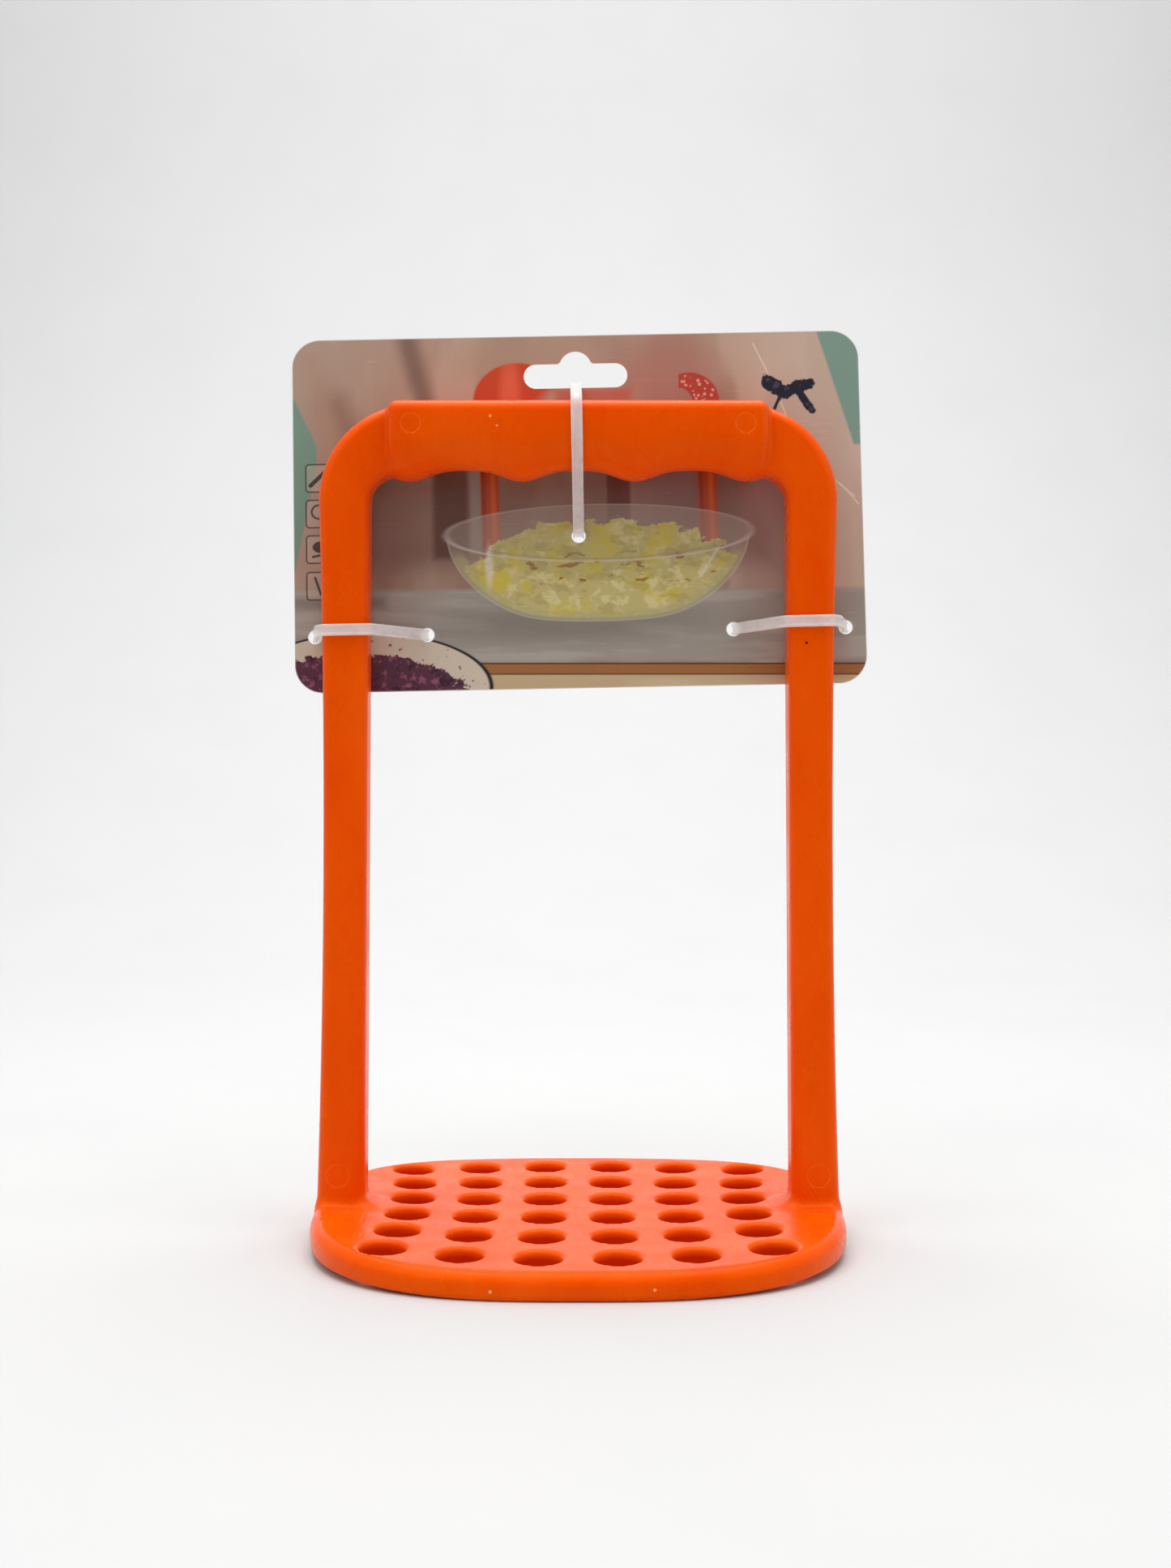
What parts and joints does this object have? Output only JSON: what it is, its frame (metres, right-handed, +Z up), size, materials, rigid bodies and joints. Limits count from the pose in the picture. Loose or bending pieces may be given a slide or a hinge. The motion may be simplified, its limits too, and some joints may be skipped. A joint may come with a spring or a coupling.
{
  "type": "potato masher",
  "caption": "Moulded hand masher: a bar grip with finger grooves on two bent arms over a perforated press plate, cable-tied to a slotted retail card.",
  "frame": {"origin": "on the surface that the masher stands on, under the middle of its press plate", "axes": "+Z up, towards the grip; -Y the front, where the grip's grooves and the printed card face; +X to the right seen from the front"},
  "size_m": [0.1248, 0.092, 0.1941],
  "materials": {
    "orange_pp": "glossy, slightly translucent injection-moulded polypropylene with fine mould-tool marks",
    "printed_card": "printed and laminated, satin, white at the cut edges",
    "clear_nylon": "natural frosted nylon, translucent"
  },
  "bodies": {
    "root": {"press_plate": "orange_pp", "left_arm": "orange_pp", "right_arm": "orange_pp", "grip": "orange_pp", "hang_card": "printed_card", "centre_tie": "clear_nylon", "left_tie": "clear_nylon", "right_tie": "clear_nylon"}
  },
  "joints": []
}
